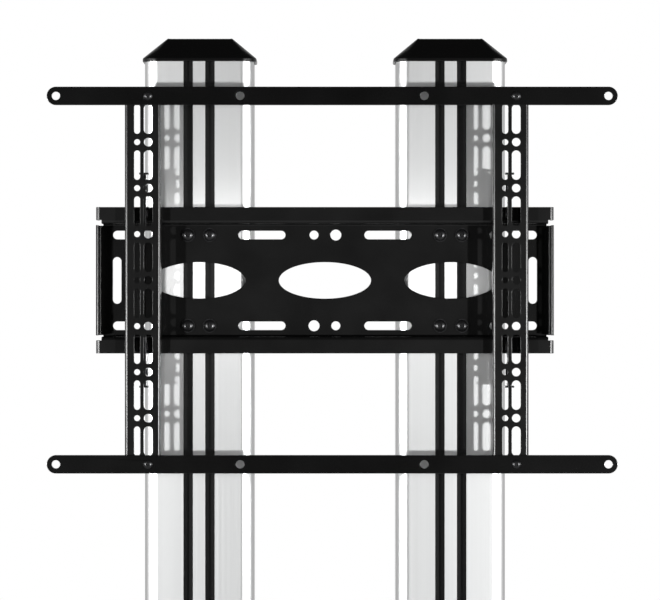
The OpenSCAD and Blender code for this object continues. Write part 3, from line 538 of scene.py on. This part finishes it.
# the cone's radius at the top face per width across flats, its spread per height, and how far it reaches past the
# prism's ends as a share of the height; the prism starts half way up its flange, so that no two faces lie together
chamfer = {"face": 0.475, "flare": 1.73, "past": 0.1}
corner = addMath(hexTree, "DIVIDE", given["Across Flats"], math.sqrt(3))
sunk = addMath(hexTree, "MULTIPLY", given["Flange Height"], 0.5)
prism = addLift(hexTree, addRound(hexTree, 6, corner, addMath(hexTree, "SUBTRACT", given["Height"], sunk)),
                addMath(hexTree, "MULTIPLY", addMath(hexTree, "ADD", given["Height"], sunk), 0.5))
inner = addMath(hexTree, "MULTIPLY", given["Across Flats"], chamfer["face"])
narrow = addMath(hexTree, "MULTIPLY_ADD", given["Height"], -chamfer["past"] * chamfer["flare"], inner)
broad = addMath(hexTree, "MULTIPLY_ADD", given["Height"], (1 + chamfer["past"]) * chamfer["flare"], inner)
tall = addMath(hexTree, "MULTIPLY", given["Height"], 1 + 2 * chamfer["past"])
cone = addNode(hexTree, "GeometryNodeMeshCone", {"Vertices": steps["head"], "Radius Top": narrow,
                                                 "Radius Bottom": broad, "Depth": tall})
coneSet = addLift(hexTree, cone.outputs["Mesh"], addMath(hexTree, "MULTIPLY", given["Height"], -chamfer["past"]))
raised = mergeShapes(hexTree, [prism, coneSet], "INTERSECT")
flange = addLift(hexTree, addRound(hexTree, steps["head"], given["Flange Radius"], given["Flange Height"]),
                 addMath(hexTree, "MULTIPLY", given["Flange Height"], 0.5))
body = chooseShape(hexTree, given["Flange Height"], raised, mergeShapes(hexTree, [raised, flange], "UNION"))
drill = addRound(hexTree, steps["bore"], given["Bore Radius"], reach["drill"])
bored = chooseShape(hexTree, given["Bore Radius"], body, cutShapes(hexTree, body, drill))
rod = addLift(hexTree, addRound(hexTree, steps["shank"], given["Shank Radius"], given["Shank Length"]),
              addMath(hexTree, "MULTIPLY", given["Shank Length"], -0.5))
rodShown = chooseShape(hexTree, given["Shank Length"], None, rod)
finishTree(hexTree, given, joinShapes(hexTree, [bored, rodShown]))

# where the fasteners stand, in metres: the columns' and slots' centres, the mount's middle and its rows, the bars'
# screws about the frame's middle, and the levels and depths of the faces that the heads and nuts bear on
columnsX, slotsX, rowsZ = (-0.139, 0.139), (-0.012, 0.012), (-0.05, 0.05)
mountZ, frameX, barScrews = 1.531, 0.008, (-0.2, 0.2)
plateFace, barFace, barBack = -0.0016, -0.0545, -0.0485
baseY, shoeBoltX, shoeBoltY, shoeTop, beamRoof = 0.04, (-0.075, 0.075), (-0.046, 0.046), 0.064, 0.052
beamBoltY, beamZ, legFace, legBack = (-0.045, 0.045), 0.031, 0.45, 0.362
nutSmooth, wireSmooth = 20, 60  # edges sharper than this, in degrees, stay sharp on a nut and on a wire

barPlaces = [(frameX + x, mountZ + z) for x in barScrews for z in barScrews]
barScrew = {"Head Radius": 4.9, "Head Height": 3.0, "Rim Height": 0.9, "Socket Across Flats": 4.0,
            "Socket Depth": 1.8, "Shank Radius": 3.0, "Shank Length": 11.2}
growPiece("bar_socket_screws", "bar_screws", screwTree, barScrew,
          [((x, barFace, z), (0, -1, 0)) for x, z in barPlaces], "display_frame")
barNut = {"Across Flats": 10.0, "Height": 4.2, "Flange Radius": 7.0, "Flange Height": 1.2, "Bore Radius": 3.05}
growPiece("bar_flange_nuts", "bar_nuts", hexTree, barNut,
          [((x, barBack, z), (0, 1, 0)) for x, z in barPlaces], "display_frame", nutSmooth)

plateScrew = {"Head Radius": 6.6, "Head Height": 4.2, "Rim Height": 1.1, "Socket Across Flats": 5.0,
              "Socket Depth": 2.6, "Shank Radius": 4.0, "Shank Length": 20.0}
growPiece("plate_button_screws", "plate_screws", screwTree, plateScrew,
          [((x + s, plateFace, mountZ + z), (0, -1, 0)) for x in columnsX for s in slotsX for z in rowsZ],
          "carriage")

shoePlaces = [(x + s, baseY + y) for x in columnsX for s in shoeBoltX for y in shoeBoltY]
shoeBolt = {"Head Radius": 8.5, "Head Height": 5.5, "Rim Height": 4.6, "Socket Across Flats": 6.0,
            "Socket Depth": 3.4, "Shank Radius": 5.0, "Shank Length": 21.0}
growPiece("shoe_cap_bolts", "shoe_bolts", screwTree, shoeBolt,
          [((x, y, shoeTop), (0, 0, 1)) for x, y in shoePlaces], "stand")
shoeNut = {"Across Flats": 16.0, "Height": 8.0, "Bore Radius": 5.05}
growPiece("shoe_hex_nuts", "shoe_nuts", hexTree, shoeNut,
          [((x, y, beamRoof), (0, 0, -1)) for x, y in shoePlaces], "stand", nutSmooth)

beamPlaces = [(side, baseY + y) for side in (-1, 1) for y in beamBoltY]
beamBolt = {"Across Flats": 16.0, "Height": 6.4, "Shank Radius": 5.0, "Shank Length": 97.0}
growPiece("beam_hex_bolts", "beam_bolts", hexTree, beamBolt,
          [((side * legFace, y, beamZ), (side, 0, 0)) for side, y in beamPlaces], "stand", nutSmooth)
beamNut = {"Across Flats": 16.0, "Height": 8.0, "Bore Radius": 5.05}
growPiece("beam_hex_nuts", "beam_nuts", hexTree, beamNut,
          [((side * legBack, y, beamZ), (-side, 0, 0)) for side, y in beamPlaces], "stand", nutSmooth)

# return spring: a wire wound round an upright axis
springTree, given = newTree("wound springs", ["Coil Radius", "Wire Radius", "Rise"])
spring = {"Coil Radius": 1.85, "Wire Radius": 0.4, "Rise": 16.6}
seat = {"left": -0.1969, "right": 0.2009, "y": -0.03625, "z": 1.4533, "coilZ": 1.4537, "turns": 7.0, "keep": 0.425}
coilLine = addNode(springTree, "GeometryNodeCurveSpiral", {"Resolution": steps["turn"], "Rotations": seat["turns"],
                                                           "Start Radius": given["Coil Radius"],
                                                           "End Radius": given["Coil Radius"],
                                                           "Height": given["Rise"]})
section = addNode(springTree, "GeometryNodeCurvePrimitiveCircle", {"Resolution": steps["wire"],
                                                                   "Radius": given["Wire Radius"]})
wound = addNode(springTree, "GeometryNodeCurveToMesh", {"Curve": coilLine.outputs[0],
                                                        "Profile Curve": section.outputs[0], "Fill Caps": True})
finishTree(springTree, given, wound.outputs[0])
for side in ("left", "right"):
    coil = growPiece("wound_spring_" + side, "lock_spring_" + side, springTree, spring,
                     [((seat[side], seat["y"], seat["coilZ"]), (0, 0, 1))], "display_frame", wireSmooth)
    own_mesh(coil)
print("fasteners and springs made")
